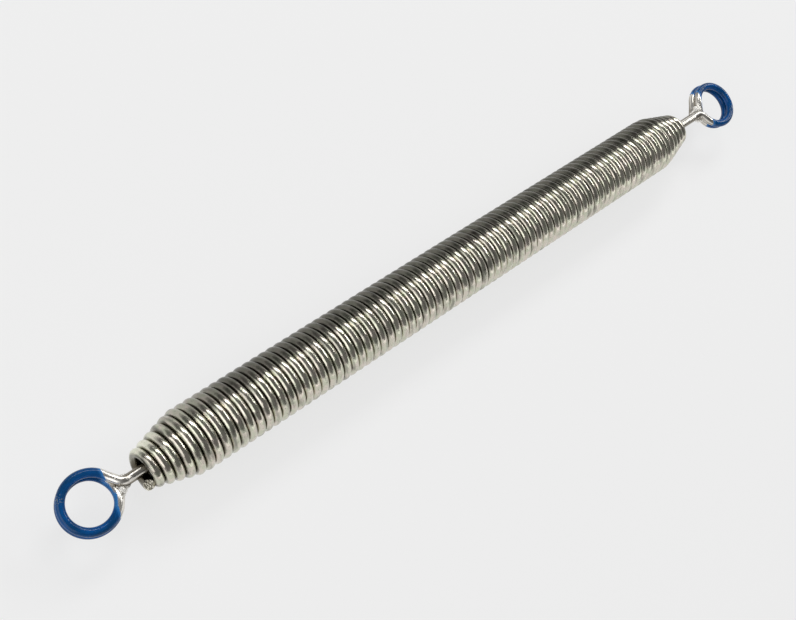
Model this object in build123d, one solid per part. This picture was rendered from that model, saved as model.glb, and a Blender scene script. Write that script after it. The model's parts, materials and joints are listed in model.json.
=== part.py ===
"""Close-wound extension spring with coned ends and a loose double-wire eye in each cone.

The spring lies along X. The origin is the middle of the near eye's hole, the
two turns of an eye lie one on the other along Z, and the far eye is the near
one turned half round about Z. Every wire is drawn as a bar with a few flats
along short chords, so that eighty-odd turns stay light.
"""

import os
from math import cos, hypot, pi, radians, sin, sqrt, tan

from build123d import *

# Coil: one hard-drawn wire, close wound, right hand
coil_wire = 6.0  # diameter of the wire
turn_gap = 0.1  # daylight between neighbouring turns
coil_od = 42.5  # over the full turns
mouth_od = 24.3  # over the end turn of each cone
full_turns = 71.0
cone_turns = 5.25  # in each coned end

# Eyes: one length of softer wire each, two turns and two legs
eye_wire = 5.5
eye_hole = 25.6  # clear hole for the hook or pulley fork
eye_length = 67.2  # from the middle of the hole to the middle of the feet
strand_gap = 0.1  # between the two turns, and between the two legs
loop_spread = 1.5  # how far each turn opens from the neck to where its leg leaves
leg_angle = 35.0  # degrees either side of the neck at which the legs leave the ring
neck_bend = 6.0  # bend radius where a leg turns in line with the spring
neck_lift = 1.5  # how far each leg rises to pass over the strand that crosses at the neck
neck_settle = 4.0  # length of shank in which that rise is lost again
leg_offset = 0.5  # each leg's middle, to its own side of the spring's axis
foot_bend = 5.0  # bend radius of the feet inside the cones
foot_reach = 8.5  # from the spring's axis to the end of a foot
running_gap = 0.3  # left all round where an eye swivels in the coil
near_slack = 16.1  # how far the near eye is pushed in from its seat

# How finely the wires are drawn
coil_side_count = 6
coil_chords = 12  # in one turn
eye_side_count = 8
eye_chords = 16  # in one turn
bend_chords = 4  # in each bend of a leg

pitch = coil_wire + turn_gap
full_radius = (coil_od - coil_wire) / 2
mouth_radius = (mouth_od - coil_wire) / 2
cone_step = (full_radius - mouth_radius) / cone_turns  # radius gained in one turn
cone_pitch = sqrt(pitch**2 - cone_step**2)  # the turns still lie a pitch apart on the slant
cone_length = cone_turns * cone_pitch
coil_length = full_turns * pitch + 2 * cone_length
all_turns = full_turns + 2 * cone_turns

ring_radius = (eye_hole + eye_wire) / 2
strand_rise = (eye_wire + strand_gap) / 2
leg_start = radians(leg_angle)

# The ends of the feet stop a running gap short of the cone's inside, which is nearest
# the axis at the middle of a chord. They come closest a little mouthward of their middle.
foot_corner = hypot(foot_reach, strand_rise + eye_wire / 2)
cone_slope = cone_step / cone_pitch
cone_wall = coil_wire / 2 * hypot(1, cone_slope)
seat_radius = (foot_corner + running_gap + cone_wall) / cos(pi / coil_chords)
seat_depth = (seat_radius - mouth_radius) / cone_slope + eye_wire / 4
far_reach = eye_length - seat_depth  # from the coil's end turn to the eye's hole
near_reach = far_reach - near_slack
far_eye_x = near_reach + coil_length + far_reach


def wire(points, diameter, side_count):
    """A bar of regular section, mitred along straight chords through the points."""
    path = Polyline(*points)
    start = Plane(origin=path @ 0, z_dir=path % 0)
    section = start * RegularPolygon(diameter / 2, side_count)
    return sweep(section, path=path, transition=Transition.RIGHT)


def coil_point(turn):
    """A point of the coil's wire, with turns counted from the middle of the spring."""
    tapered = max(abs(turn) - full_turns / 2, 0)
    along = (abs(turn) - tapered) * pitch + tapered * cone_pitch
    radius = full_radius - tapered * cone_step
    angle = pi / 2 + 2 * pi * turn
    middle = near_reach + coil_length / 2
    side = 1 if turn > 0 else -1
    return Vector(middle + side * along, radius * cos(angle), radius * sin(angle))


def make_coil():
    """The whole spring wire from one cut end to the other."""
    chords = round(all_turns * coil_chords)
    turns = [all_turns * (step / chords - 0.5) for step in range(chords + 1)]
    return wire([coil_point(turn) for turn in turns], coil_wire, coil_side_count)


def ring_point(angle):
    """A point of the eye's two turns: the neck is at a full turn, where they change over."""
    past_neck = angle - 2 * pi
    blend = max(-1.0, min(1.0, past_neck / leg_start))
    opened = abs(past_neck) / (2 * pi - leg_start)
    radius = (ring_radius + loop_spread * opened**2) / cos(pi / eye_chords)
    return Vector(radius * cos(angle), radius * sin(angle), -strand_rise * sin(blend * pi / 2))


def leg_points():
    """One leg, from where it leaves the ring to the end of its foot."""
    start = ring_point(leg_start)
    turn_in = pi / 2 - leg_start
    fall = start.Y - leg_offset - neck_bend * (1 - cos(turn_in))
    run = fall / tan(turn_in)
    bend_x = start.X + run + neck_bend * sin(turn_in)
    settled_x = bend_x + neck_settle
    line = [(start.X, start.Y), (start.X + run / 2, start.Y - fall / 2)]
    for step in range(bend_chords + 1):
        left = turn_in * (1 - step / bend_chords)
        line.append((bend_x - neck_bend * sin(left), leg_offset + neck_bend * (1 - cos(left))))
    line += [(bend_x + neck_settle / 2, leg_offset), (settled_x, leg_offset)]
    points = []
    for x, y in line:
        risen = sin(pi * (x - start.X) / (settled_x - start.X)) ** 2
        points.append(Vector(x, y, strand_rise + neck_lift * risen))
    for step in range(bend_chords + 1):
        turned = pi / 2 * step / bend_chords
        along = eye_length - foot_bend * (1 - sin(turned))
        points.append(Vector(along, leg_offset + foot_bend * (1 - cos(turned)), strand_rise))
    points.append(Vector(eye_length, foot_reach, strand_rise))
    return points


def make_eye():
    """An eye about its own hole, with its neck and legs towards +X."""
    sweep_angle = 4 * pi - 2 * leg_start
    chords = round(sweep_angle / (2 * pi) * eye_chords)
    ring = [ring_point(leg_start + sweep_angle * step / chords) for step in range(chords + 1)]
    upper = leg_points()
    lower = [Vector(point.X, -point.Y, -point.Z) for point in upper]
    return wire(upper[:0:-1] + ring + lower[1:], eye_wire, eye_side_count)


eye = make_eye()
parts = {
    "spring_coil": make_coil(),
    "near_eye": eye,
    "far_eye": Pos(far_eye_x, 0, 0) * Rot(0, 0, 180) * eye,
}

os.makedirs("parts", exist_ok=True)
for name, part in parts.items():
    export_step(part, f"parts/{name}.step")
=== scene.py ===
import json
from math import cos, hypot, pi, radians, sin, sqrt, tan

import bmesh
import bpy
from mathutils import Matrix, Vector, noise


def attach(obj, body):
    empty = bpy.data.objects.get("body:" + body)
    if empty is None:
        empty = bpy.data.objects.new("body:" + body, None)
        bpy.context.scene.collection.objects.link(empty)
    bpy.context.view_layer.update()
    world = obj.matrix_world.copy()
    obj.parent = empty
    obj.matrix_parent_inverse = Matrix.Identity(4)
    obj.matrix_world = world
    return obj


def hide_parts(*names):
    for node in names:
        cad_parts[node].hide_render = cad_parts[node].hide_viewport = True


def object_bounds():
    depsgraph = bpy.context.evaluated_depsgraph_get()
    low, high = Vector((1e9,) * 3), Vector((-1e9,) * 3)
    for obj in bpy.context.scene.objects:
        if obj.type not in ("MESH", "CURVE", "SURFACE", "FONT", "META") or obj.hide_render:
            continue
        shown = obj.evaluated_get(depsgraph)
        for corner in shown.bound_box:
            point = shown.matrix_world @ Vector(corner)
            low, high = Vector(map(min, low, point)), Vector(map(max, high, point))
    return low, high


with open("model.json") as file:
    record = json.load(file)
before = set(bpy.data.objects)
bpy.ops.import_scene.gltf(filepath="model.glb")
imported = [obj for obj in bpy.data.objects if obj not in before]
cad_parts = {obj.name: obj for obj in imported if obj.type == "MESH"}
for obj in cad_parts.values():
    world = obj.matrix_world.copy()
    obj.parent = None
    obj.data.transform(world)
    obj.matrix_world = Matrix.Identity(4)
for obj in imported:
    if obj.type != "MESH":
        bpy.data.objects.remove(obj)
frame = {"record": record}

cad_low, cad_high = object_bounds()


# The spring is one length of bright hard-drawn steel wire, wound close and right hand on a
# mandrel and drawn in to a cone over its last turns. Each end is sheared off and left rough,
# and drawing has left fine lines, dark smears and small pits along the wire.

mm = 0.001  # in metres: the wires are drawn in millimetres, and finish_piece scales them
joints = {joint["name"]: joint for joint in frame["record"]["behaviour"]["joints"]}
near_end_turn = joints["near_swivel"]["pos_m"][0] / mm
far_end_turn = joints["far_swivel"]["pos_m"][0] / mm

coil_wire = 6.0
turn_pitch = 6.1
coil_od = 42.5
mouth_od = 24.3
full_turns = 71.0
cone_turns = 5.25
steps_in_turn = 48
coil_sides = 16
shear_length = 5.5
shear_swell = 0.25
shear_lump = 0.75
shear_grain = 1.1
cut_face_rims = (0.3, 0.7, 0.8)


def draw_wire(middle_line, inward, diameter, sides):
    """Rolls a flat strip into a round wire along a line of points, its seam on the inward side.

    The strip's own UVs stay: U runs from end to end of the wire and V once round it.
    """
    wire = bmesh.new()
    wire.loops.layers.uv.new("UVMap")
    steps = len(middle_line) - 1
    bmesh.ops.create_grid(wire, x_segments=steps, y_segments=sides, size=0.5, calc_uvs=True)
    frames = []
    for step in range(steps + 1):
        ahead = middle_line[min(step + 1, steps)] - middle_line[max(step - 1, 0)]
        ahead.normalize()
        across = ahead.cross(inward[step]).normalized()
        frames.append((across.cross(ahead), across))
    for corner in wire.verts:
        step = round((corner.co.x + 0.5) * steps)
        angle = (corner.co.y + 0.5) * 2 * pi
        inner, across = frames[step]
        spoke = inner * cos(angle) + across * sin(angle)
        corner.co = middle_line[step] + spoke * diameter / 2
    bmesh.ops.remove_doubles(wire, verts=wire.verts, dist=diameter / 1000)
    ends = [edge for edge in wire.edges if edge.is_boundary]
    bmesh.ops.holes_fill(wire, edges=ends, sides=sides)
    bmesh.ops.recalc_face_normals(wire, faces=wire.faces)
    return wire


def finish_piece(shape, name, finish, body):
    """Turns a bmesh in millimetres into a smooth piece in metres, with its material and body."""
    bmesh.ops.scale(shape, vec=(mm, mm, mm), verts=shape.verts)
    mesh = bpy.data.meshes.new(name)
    shape.to_mesh(mesh)
    shape.free()
    mesh.shade_smooth()
    piece = bpy.data.objects.new(name, mesh)
    bpy.context.scene.collection.objects.link(piece)
    mesh.materials.append(finish)
    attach(piece, body)
    return piece


full_radius = (coil_od - coil_wire) / 2
mouth_radius = (mouth_od - coil_wire) / 2
cone_step = (full_radius - mouth_radius) / cone_turns
cone_pitch = sqrt(turn_pitch**2 - cone_step**2)
all_turns = full_turns + 2 * cone_turns
coil_middle = (near_end_turn + far_end_turn) / 2

coil_line = []
coil_inward = []
coil_steps = round(all_turns * steps_in_turn)
for step in range(coil_steps + 1):
    turn = all_turns * (step / coil_steps - 0.5)
    tapered = max(abs(turn) - full_turns / 2, 0)
    along = (abs(turn) - tapered) * turn_pitch + tapered * cone_pitch
    if turn < 0:
        along = -along
    angle = pi / 2 + 2 * pi * turn
    outward = Vector((0, cos(angle), sin(angle)))
    centre = Vector((coil_middle + along, 0, 0))
    coil_line.append(centre + outward * (full_radius - tapered * cone_step))
    coil_inward.append(-outward)
coil_length = sum((b - a).length for a, b in zip(coil_line, coil_line[1:]))

coil = draw_wire(coil_line, coil_inward, coil_wire, coil_sides)
torn_mark = coil.verts.layers.float.new("torn")
for cut_middle in (coil_line[0], coil_line[-1]):
    caps = [
        face
        for face in coil.faces
        if len(face.verts) > 4 and (face.calc_center_median() - cut_middle).length < 1
    ]
    for rim in cut_face_rims:
        bmesh.ops.inset_individual(coil, faces=caps, thickness=rim)
    bmesh.ops.poke(coil, faces=caps)
    torn = {corner for corner in coil.verts if (corner.co - cut_middle).length < shear_length}
    edges = [edge for edge in coil.edges if edge.verts[0] in torn and edge.verts[1] in torn]
    bmesh.ops.subdivide_edges(coil, edges=edges, cuts=2, use_grid_fill=True)
    coil.normal_update()
    torn = [corner for corner in coil.verts if (corner.co - cut_middle).length < shear_length]
    pushes = []
    for corner in torn:
        nearness = min(1.0, 1.5 * (1 - (corner.co - cut_middle).length / shear_length))
        grain = corner.co / shear_grain
        lump = noise.noise(grain) + 0.5 * noise.noise(grain * 2.1)
        corner[torn_mark] = nearness
        pushes.append(corner.normal * nearness * (shear_swell + shear_lump * lump))
    for corner, push in zip(torn, pushes):
        corner.co += push
bmesh.ops.recalc_face_normals(coil, faces=coil.faces)

streaks = bpy.data.node_groups.new("Marks along the wire", "ShaderNodeTree")
for socket in ("Length", "Coarse", "Fine"):
    streaks.interface.new_socket(socket, in_out="INPUT", socket_type="NodeSocketFloat")
for socket in ("Smears", "Lines", "Pits", "Ripples", "Flanks", "Side", "Inner"):
    streaks.interface.new_socket(socket, in_out="OUTPUT", socket_type="NodeSocketFloat")


def add_node(tree, kind, **settings):
    """A node with its settings; a key that names an input is set on that input or linked to it."""
    node = tree.nodes.new(kind)
    for key, value in settings.items():
        if hasattr(node, key):
            setattr(node, key, value)
            continue
        socket = node.inputs[int(key[1:])] if key[0] == "_" else node.inputs[key.replace("_", " ")]
        if isinstance(value, bpy.types.NodeSocket):
            tree.links.new(value, socket)
        else:
            socket.default_value = value
    return node


group_in = streaks.nodes.new("NodeGroupInput")
group_out = streaks.nodes.new("NodeGroupOutput")
wire_uv = add_node(streaks, "ShaderNodeUVMap", uv_map="UVMap")
split = add_node(streaks, "ShaderNodeSeparateXYZ", Vector=wire_uv.outputs["UV"])
turned = add_node(streaks, "ShaderNodeMath", operation="MULTIPLY", _0=split.outputs["Y"], _1=2 * pi)
ring_y = add_node(streaks, "ShaderNodeMath", operation="COSINE", _0=turned.outputs[0])
ring_z = add_node(streaks, "ShaderNodeMath", operation="SINE", _0=turned.outputs[0])
distance = add_node(
    streaks, "ShaderNodeMath", operation="MULTIPLY", _0=split.outputs["X"], _1=group_in.outputs["Length"]
)
on_wire = add_node(
    streaks, "ShaderNodeCombineXYZ", X=distance.outputs[0], Y=ring_y.outputs[0], Z=ring_z.outputs[0]
)
for socket, stretch, size, detail in (
    ("Smears", (0.09, 1.0, 1.0), "Coarse", 4.0),
    ("Lines", (0.012, 2.4, 2.4), "Fine", 3.0),
    ("Pits", (0.9, 1.6, 1.6), "Fine", 2.0),
    ("Ripples", (0.3, 0.9, 0.9), "Coarse", 2.0),
):
    stretched = add_node(streaks, "ShaderNodeMapping", Vector=on_wire.outputs[0], Scale=stretch)
    scale = group_in.outputs[size]
    place = stretched.outputs[0]
    pattern = add_node(streaks, "ShaderNodeTexNoise", Vector=place, Scale=scale, Detail=detail)
    streaks.links.new(pattern.outputs["Fac"], group_out.inputs[socket])
flank = add_node(streaks, "ShaderNodeMath", operation="ABSOLUTE", _0=ring_z.outputs[0])
streaks.links.new(flank.outputs[0], group_out.inputs["Flanks"])
streaks.links.new(ring_z.outputs[0], group_out.inputs["Side"])
streaks.links.new(ring_y.outputs[0], group_out.inputs["Inner"])


def remap(tree, value, low, high, to_low, to_high):
    """A value from low to high, clamped, brought to between to_low and to_high."""
    node = add_node(tree, "ShaderNodeMapRange", Value=value, From_Min=low, From_Max=high)
    node.inputs["To Min"].default_value = to_low
    node.inputs["To Max"].default_value = to_high
    return node.outputs["Result"]


def blend_colours(tree, mask, first, second):
    """The first colour where the mask is 0, and the second where it is 1."""
    node = add_node(tree, "ShaderNodeMix", data_type="RGBA", _0=mask)
    for socket, colour in ((node.inputs[6], first), (node.inputs[7], second)):
        if isinstance(colour, bpy.types.NodeSocket):
            tree.links.new(colour, socket)
        else:
            socket.default_value = (*colour, 1)
    return node.outputs[2]


warm_wire_colour = (0.68, 0.62, 0.54)
green_wire_colour = (0.58, 0.59, 0.47)
dull_wire_colour = (0.24, 0.235, 0.20)
# painted shade: the colour of the dark reflection painted on the coil's +Y side
painted_dark_side_colour = (0.066, 0.064, 0.053)
# painted reflection: the pale floor's colour painted on the coil's rim by the mouth
painted_floor_reflection_colour = (0.95, 0.96, 0.80)
pit_colour = (0.06, 0.055, 0.045)
# painted shade for the grooves between the turns
groove_shade_colour = (0.045, 0.042, 0.034)
# painted shade for the inside of the coil
bore_shade_colour = (0.10, 0.088, 0.065)
torn_colour = (0.86, 0.82, 0.70)
dark_side_y = (0.005, 0.014)
dark_from_x = (0.045, 0.10)
bright_rim_x = (0.040, 0.052)
wire_roughness = (0.14, 0.30)
torn_roughness = 0.25
line_depth = 0.00012
ripple_depth = 0.0005

spring_steel = bpy.data.materials.new("drawn spring steel")
spring_steel.use_nodes = True
tree = spring_steel.node_tree
shader = tree.nodes["Principled BSDF"]
shader.inputs["Metallic"].default_value = 1.0
marks = add_node(tree, "ShaderNodeGroup", node_tree=streaks, Length=coil_length, Coarse=0.9, Fine=2.2)
smears = marks.outputs["Smears"]
where = add_node(tree, "ShaderNodeTexCoord").outputs["Object"]
side = add_node(tree, "ShaderNodeSeparateXYZ", Vector=where)
# Painted shade: past the mouth, the wire's +Y side is darkened as a painted dark reflection, made patchy
# by the smears.
one_side = remap(tree, side.outputs["Y"], *dark_side_y, 0.0, 1.0)
past_mouth = remap(tree, side.outputs["X"], *dark_from_x, 0.0, 1.0)
painted_dark_side = add_node(tree, "ShaderNodeMath", operation="MULTIPLY", _0=one_side, _1=past_mouth)
patchy = remap(tree, smears, 0.30, 0.60, 1.0, 0.80)
painted_dark_side = add_node(tree, "ShaderNodeMath", operation="MULTIPLY", _0=painted_dark_side.outputs[0], _1=patchy)
tint = remap(tree, marks.outputs["Ripples"], 0.40, 0.60, 0.0, 1.0)
surface = blend_colours(tree, tint, green_wire_colour, warm_wire_colour)
surface = blend_colours(tree, remap(tree, smears, 0.50, 0.68, 0.0, 0.85), surface, dull_wire_colour)
surface = blend_colours(tree, painted_dark_side.outputs[0], surface, painted_dark_side_colour)
# Painted reflection: near the mouth, the +Y side turns pale as a painted reflection of the pale floor.
painted_pale_rim = remap(tree, side.outputs["X"], *bright_rim_x, 0.8, 0.0)
painted_pale_rim = add_node(tree, "ShaderNodeMath", operation="MULTIPLY", _0=one_side, _1=painted_pale_rim)
surface = blend_colours(tree, painted_pale_rim.outputs[0], surface, painted_floor_reflection_colour)
# Painted shade: the flanks of each turn, where it faces its neighbours, are darkened and made patchy by
# the smears.
groove_shade_reach = add_node(
    tree, "ShaderNodeMath", operation="MULTIPLY_ADD", _0=smears, _1=0.5, _2=marks.outputs["Flanks"]
)
groove_shade = remap(tree, groove_shade_reach.outputs[0], 1.08, 1.24, 0.0, 0.65)
surface = blend_colours(tree, groove_shade, surface, groove_shade_colour)
# Painted shade: the inner side of each turn, facing the bore, is darkened.
bore_shade = remap(tree, marks.outputs["Inner"], 0.0, 0.5, 0.0, 0.9)
surface = blend_colours(tree, bore_shade, surface, bore_shade_colour)
torn_end = add_node(tree, "ShaderNodeAttribute", attribute_name="torn")
torn_face = remap(tree, torn_end.outputs["Fac"], 0.4, 0.8, 0.0, 0.9)
surface = blend_colours(tree, torn_face, surface, torn_colour)
pitted = remap(tree, marks.outputs["Pits"], 0.64, 0.72, 0.0, 0.85)
surface = blend_colours(tree, pitted, surface, pit_colour)
tree.links.new(surface, shader.inputs["Base Color"])
sheen = remap(tree, smears, 0.35, 0.7, *wire_roughness)
sheen = add_node(
    tree, "ShaderNodeMath", operation="MULTIPLY_ADD", _0=torn_face, _1=torn_roughness, _2=sheen
)
tree.links.new(sheen.outputs[0], shader.inputs["Roughness"])
lined = remap(tree, marks.outputs["Lines"], 0.35, 0.7, 0.0, 1.0)
lines_relief = add_node(tree, "ShaderNodeBump", Strength=0.28, Distance=line_depth, Height=lined)
ripple_relief = add_node(tree, "ShaderNodeBump", Strength=0.4, Distance=ripple_depth)
tree.links.new(marks.outputs["Ripples"], ripple_relief.inputs["Height"])
tree.links.new(lines_relief.outputs["Normal"], ripple_relief.inputs["Normal"])
tree.links.new(ripple_relief.outputs["Normal"], shader.inputs["Normal"])

coil_piece = finish_piece(coil, "coil_wire", spring_steel, "coil")
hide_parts("spring_coil")


# Each eye is a shorter length of softer galvanised wire, bent into two turns side by side. Its
# legs go into the coil's mouth and end in feet bent outwards behind the cone. The loop is
# dipped in blue enamel up to its neck, and the legs stay bare.

eye_wire = 5.5
eye_hole = 25.6
eye_length = 67.2
strand_gap = 0.1
loop_spread = 1.5
leg_angle = 35.0
neck_bend = 6.0
neck_lift = 1.5
neck_settle = 4.0
leg_offset = 0.5
foot_bend = 5.0
foot_reach = 8.5
eye_sides = 24
ring_steps = 150
run_steps = 6
bend_steps = 12
dip_depth = 12.4
dip_slope = 0.14
inner_dip_reach = 14.4
rubbed_place = Vector((-14.2, 11.6, 4.4))
rubbed_reach = 4.0
drip_mark = 100.0  # what past_dip holds on a drip of zinc, further than any wire reaches
drip_lumps = 0.28
drip_grain = 0.9

ring_radius = (eye_hole + eye_wire) / 2
strand_rise = (eye_wire + strand_gap) / 2
leg_start = radians(leg_angle)


def loop_point(angle):
    """A point of the two turns, which cross from one to the other at the neck, a full turn in."""
    past_neck = angle - 2 * pi
    crossing = max(-1.0, min(1.0, past_neck / leg_start))
    opened = abs(past_neck) / (2 * pi - leg_start)
    radius = ring_radius + loop_spread * opened**2
    return Vector((radius * cos(angle), radius * sin(angle), -strand_rise * sin(crossing * pi / 2)))


def leg_line():
    """One leg: a straight run from the loop, a bend over the crossing, the shank and the foot."""
    start = loop_point(leg_start)
    turn_in = pi / 2 - leg_start
    fall = start.y - leg_offset - neck_bend * (1 - cos(turn_in))
    run = fall / tan(turn_in)
    bend_x = start.x + run + neck_bend * sin(turn_in)
    settled_x = bend_x + neck_settle
    flat = []
    for step in range(1, run_steps):
        flat.append((start.x + run * step / run_steps, start.y - fall * step / run_steps))
    for step in range(bend_steps + 1):
        left = turn_in * (1 - step / bend_steps)
        flat.append((bend_x - neck_bend * sin(left), leg_offset + neck_bend * (1 - cos(left))))
    for step in range(1, run_steps + 1):
        flat.append((bend_x + neck_settle * step / run_steps, leg_offset))
    points = []
    for x, y in flat:
        risen = sin(pi * (x - start.x) / (settled_x - start.x)) ** 2
        points.append(Vector((x, y, strand_rise + neck_lift * risen)))
    for step in range(bend_steps + 1):
        turned = pi / 2 * step / bend_steps
        along = eye_length - foot_bend * (1 - sin(turned))
        points.append(Vector((along, leg_offset + foot_bend * (1 - cos(turned)), strand_rise)))
    points.append(Vector((eye_length, foot_reach, strand_rise)))
    return points


loop_sweep = 4 * pi - 2 * leg_start
loop = [loop_point(leg_start + loop_sweep * step / ring_steps) for step in range(ring_steps + 1)]
upper_leg = leg_line()
lower_leg = [Vector((point.x, -point.y, -point.z)) for point in upper_leg]
eye_line = upper_leg[::-1] + loop + lower_leg
eye_length_of_wire = sum((b - a).length for a, b in zip(eye_line, eye_line[1:]))

zinc_drips = (
    (17.0, -0.6, 2.5, 0.9),
    (16.8, -2.2, 3.0, 1.0),
    (16.4, -4.1, 3.7, 0.9),
    (15.7, -6.1, 4.1, 0.8),
    (14.9, -7.9, 4.4, 0.7),
    (18.2, -2.8, 3.3, 1.9),
    (19.3, -4.0, 2.3, 1.7),
    (18.0, -5.2, 1.2, 1.6),
    (20.9, -3.4, 1.7, 1.5),
    (22.6, -3.3, 0.7, 1.2),
    (24.1, -3.2, -0.5, 0.9),
    (17.8, 4.4, 6.4, 0.6),
    (20.3, 3.8, 4.7, 0.7),
    (21.8, 3.4, 4.6, 0.6),
)

enamel_blue = (0.001, 0.085, 0.31)
enamel_deep = (0.002, 0.052, 0.16)
enamel_thin = (0.05, 0.25, 0.62)
zinc_bright = (0.84, 0.81, 0.75)
# partly painted highlight: the near-white colour of the frosted zinc drips
drip_highlight_colour = (0.97, 0.95, 0.90)
zinc_dull = (0.33, 0.32, 0.29)
# painted shade on the bare wire's flanks and on one side of the shank
zinc_shade_colour = (0.17, 0.145, 0.105)
chip_colour = (0.42, 0.44, 0.34)
raggedness = 0.6
enamel_roughness = 0.2
zinc_roughness = 0.32
drip_roughness = 0.2
drip_metal_loss = -0.45

dipped_wire = bpy.data.materials.new("blue dipped wire")
dipped_wire.use_nodes = True
tree = dipped_wire.node_tree
shader = tree.nodes["Principled BSDF"]
marks = add_node(
    tree, "ShaderNodeGroup", node_tree=streaks, Length=eye_length_of_wire, Coarse=0.9, Fine=2.2
)
smears = marks.outputs["Smears"]
past_dip = add_node(tree, "ShaderNodeAttribute", attribute_name="past_dip")
ragged = remap(tree, smears, 0.3, 0.7, -raggedness, raggedness)
edge = add_node(tree, "ShaderNodeMath", operation="ADD", _0=past_dip.outputs["Fac"], _1=ragged)
bare = remap(tree, edge.outputs[0], -0.25, 0.25, 0.0, 1.0)
# The drips are frosted zinc, rougher and less metallic; their near-white colour is partly a painted
# highlight.
frosted_and_highlit = remap(tree, past_dip.outputs["Fac"], eye_length, drip_mark, 0.0, 1.0)
enamel = blend_colours(tree, remap(tree, smears, 0.35, 0.65, 0.0, 1.0), enamel_blue, enamel_deep)
zinc = blend_colours(tree, remap(tree, smears, 0.5, 0.7, 0.0, 0.9), zinc_bright, zinc_dull)
# Painted shade: the bare wire's flanks darken to a brown edge line, made patchy by the smears.
flank_shade_reach = add_node(
    tree, "ShaderNodeMath", operation="MULTIPLY_ADD", _0=smears, _1=0.4, _2=marks.outputs["Flanks"]
)
zinc = blend_colours(tree, remap(tree, flank_shade_reach.outputs[0], 1.08, 1.2, 0.0, 0.7), zinc, zinc_shade_colour)
# Painted shade: past the crotch, one side of the shank is darkened and made patchy by the smears.
shank_shade_side = add_node(
    tree, "ShaderNodeMath", operation="MULTIPLY_ADD", _0=smears, _1=-0.8, _2=marks.outputs["Side"]
)
shank_shade_side = remap(tree, shank_shade_side.outputs[0], -0.95, -0.45, 0.85, 0.0)
on_shank = remap(tree, past_dip.outputs["Fac"], 5.0, 9.0, 0.0, 1.0)
shank_side_shade = add_node(tree, "ShaderNodeMath", operation="MULTIPLY", _0=shank_shade_side, _1=on_shank)
zinc = blend_colours(tree, shank_side_shade.outputs[0], zinc, zinc_shade_colour)
zinc = blend_colours(tree, frosted_and_highlit, zinc, drip_highlight_colour)
thinning = remap(tree, edge.outputs[0], -2.2, -0.2, 0.0, 0.8)
enamel = blend_colours(tree, thinning, enamel, enamel_thin)
rubbed = add_node(tree, "ShaderNodeAttribute", attribute_name="rubbed")
specks = remap(tree, marks.outputs["Pits"], 0.58, 0.64, 0.0, 0.85)
chipped = add_node(tree, "ShaderNodeMath", operation="MULTIPLY", _0=rubbed.outputs["Fac"], _1=specks)
enamel = blend_colours(tree, chipped.outputs[0], enamel, chip_colour)
tree.links.new(blend_colours(tree, bare, enamel, zinc), shader.inputs["Base Color"])
metal = add_node(
    tree, "ShaderNodeMath", operation="MULTIPLY_ADD", _0=frosted_and_highlit, _1=drip_metal_loss, _2=bare
)
tree.links.new(metal.outputs[0], shader.inputs["Metallic"])
sheen = remap(tree, bare, 0.0, 1.0, enamel_roughness, zinc_roughness)
sheen = add_node(
    tree, "ShaderNodeMath", operation="MULTIPLY_ADD", _0=frosted_and_highlit, _1=drip_roughness, _2=sheen
)
tree.links.new(sheen.outputs[0], shader.inputs["Roughness"])
shader.inputs["Specular IOR Level"].default_value = 0.25
relief = add_node(
    tree, "ShaderNodeBump", Strength=0.2, Distance=line_depth, Height=marks.outputs["Lines"]
)
tree.links.new(relief.outputs["Normal"], shader.inputs["Normal"])

far_hole = max(mount["pos_m"][0] for mount in frame["record"]["mounts"]) / mm
eye_places = {
    "near_eye": ("near_loop", Matrix()),
    "far_eye": ("far_loop", Matrix.Translation((far_hole, 0, 0)) @ Matrix.Rotation(pi, 4, "Z")),
}
for node, (body, place) in eye_places.items():
    eye = draw_wire(eye_line, [Vector((0, 0, -1))] * len(eye_line), eye_wire, eye_sides)
    past = eye.verts.layers.float.new("past_dip")
    rub = eye.verts.layers.float.new("rubbed")
    for corner in eye.verts:
        corner[rub] = max(0.0, 1.0 - ((corner.co - rubbed_place).length / rubbed_reach) ** 2)
        past_edge = corner.co.x - dip_depth - dip_slope * corner.co.y
        past_inner_edge = hypot(corner.co.x, corner.co.y) - inner_dip_reach
        corner[past] = min(past_edge, past_inner_edge)
    for x, y, z, size in zinc_drips:
        for side in (1, -1):
            drip = bmesh.ops.create_icosphere(eye, subdivisions=3, radius=size)["verts"]
            for corner in drip:
                lump = noise.noise(corner.co * drip_grain + Vector((x, y, z * side)))
                corner.co = corner.co * (1 + drip_lumps * lump) + Vector((x, y * side, z * side))
                corner[past] = drip_mark
    bmesh.ops.transform(eye, matrix=place, verts=eye.verts)
    eye_piece = finish_piece(eye, f"{node}_wire", dipped_wire, body)
    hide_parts(node)


# The stage: a plain pale floor just under the coil, long soft lights on both sides and past
# the far end, a wide one over the near eye, and the camera above, looking down the spring.

floor_half_side = 40.0
floor_gap = 0.002
even_share = 0.75
camera_place = Vector((-0.4029, -0.0020, 0.6255))
focal_length = 49.75

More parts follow.
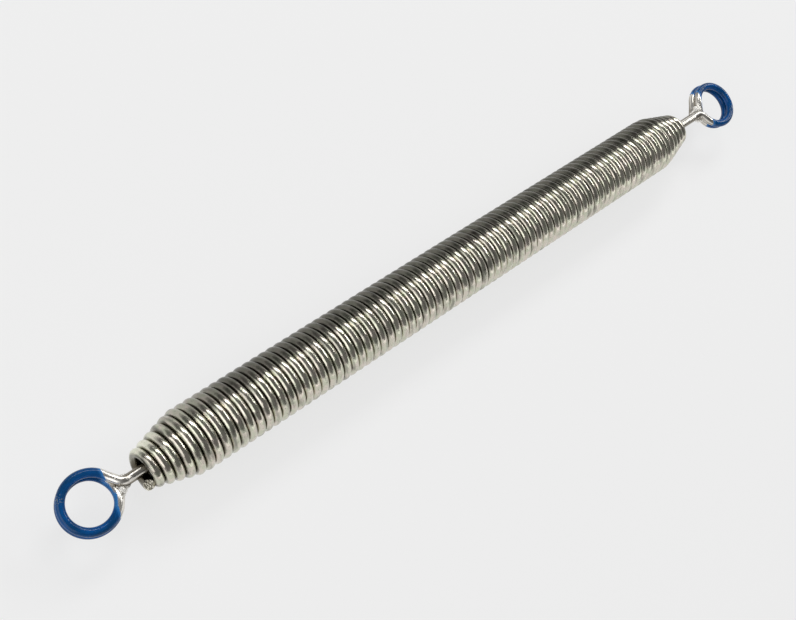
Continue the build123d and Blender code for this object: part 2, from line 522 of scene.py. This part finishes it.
floor_shape = bmesh.new()
bmesh.ops.create_grid(floor_shape, x_segments=1, y_segments=1, size=floor_half_side)
bmesh.ops.translate(floor_shape, vec=(0, 0, cad_low[2] - floor_gap), verts=floor_shape.verts)
floor_mesh = bpy.data.meshes.new("floor")
floor_shape.to_mesh(floor_mesh)
floor_shape.free()
floor = bpy.data.objects.new("floor", floor_mesh)
bpy.context.scene.collection.objects.link(floor)
pale = bpy.data.materials.new("pale floor")
pale.use_nodes = True
tree = pale.node_tree
lit_floor = tree.nodes["Principled BSDF"]
lit_floor.inputs["Base Color"].default_value = (0.80, 0.80, 0.80, 1)
lit_floor.inputs["Roughness"].default_value = 0.9
even_floor = add_node(tree, "ShaderNodeEmission", Color=(0.94, 0.94, 0.94, 1), Strength=1.0)
rays = add_node(tree, "ShaderNodeLightPath")
seen = rays.outputs["Is Camera Ray"]
for ray in ("Is Glossy Ray", "Is Transmission Ray"):
    either = add_node(tree, "ShaderNodeMath", operation="MAXIMUM", _0=seen, _1=rays.outputs[ray])
    seen = either.outputs[0]
evened = add_node(tree, "ShaderNodeMath", operation="MULTIPLY", _0=seen, _1=even_share)
floor_mix = add_node(tree, "ShaderNodeMixShader", _0=evened.outputs[0])
tree.links.new(lit_floor.outputs[0], floor_mix.inputs[1])
tree.links.new(even_floor.outputs[0], floor_mix.inputs[2])
tree.links.new(floor_mix.outputs[0], tree.nodes["Material Output"].inputs["Surface"])
floor_mesh.materials.append(pale)

spring_middle = Vector((coil_middle * mm, 0, 0))


def hang_light(name, toward, distance, length, width, radiance):
    """A soft rectangular light aimed at the spring's middle, with its length along the spring."""
    lamp = bpy.data.lights.new(name, "AREA")
    lamp.shape = "RECTANGLE"
    lamp.size, lamp.size_y = length, width
    lamp.energy = radiance * pi * length * width
    holder = bpy.data.objects.new(name, lamp)
    aim = Vector(toward).normalized()
    lengthwise = (Vector((1, 0, 0)) - aim * aim.x).normalized()
    holder.matrix_world = Matrix((lengthwise, aim.cross(lengthwise), aim)).transposed().to_4x4()
    holder.location = spring_middle + aim * distance
    bpy.context.scene.collection.objects.link(holder)


hang_light("side strip", (0.49, 0.57, 0.66), 2.5, 2.6, 0.6, 6.0)
hang_light("end strip", (0.84, 0.04, 0.54), 4.0, 0.6, 1.8, 9.0)
hang_light("low fill", (0.30, -0.93, 0.13), 2.4, 4.5, 0.5, 0.85)
hang_light("key light", (-0.85, 0.0, 0.50), 2.5, 1.8, 3.0, 1.7)

world = bpy.data.worlds.new("studio")
world.use_nodes = True
tree = world.node_tree
toward = add_node(tree, "ShaderNodeTexCoord").outputs["Generated"]
height = add_node(tree, "ShaderNodeSeparateXYZ", Vector=toward)
paler_low_down = remap(tree, height.outputs["Z"], 0.0, 0.30, 0.70, 0.16)
tree.links.new(paler_low_down, tree.nodes["Background"].inputs["Color"])
bpy.context.scene.world = world

camera_right = Vector((0.7328, -0.5406, 0.4131))
camera_up = Vector((0.4710, 0.8413, 0.2654))
camera_back = camera_right.cross(camera_up)
stand = Matrix((camera_right, camera_up, camera_back)).transposed().to_4x4()
stand.translation = spring_middle + camera_place
lens = bpy.data.cameras.new("camera")
lens.sensor_width = 36.0
lens.lens = focal_length
camera = bpy.data.objects.new("camera", lens)
camera.matrix_world = stand
bpy.context.scene.collection.objects.link(camera)
bpy.context.scene.camera = camera
bpy.context.scene.view_settings.view_transform = "Standard"
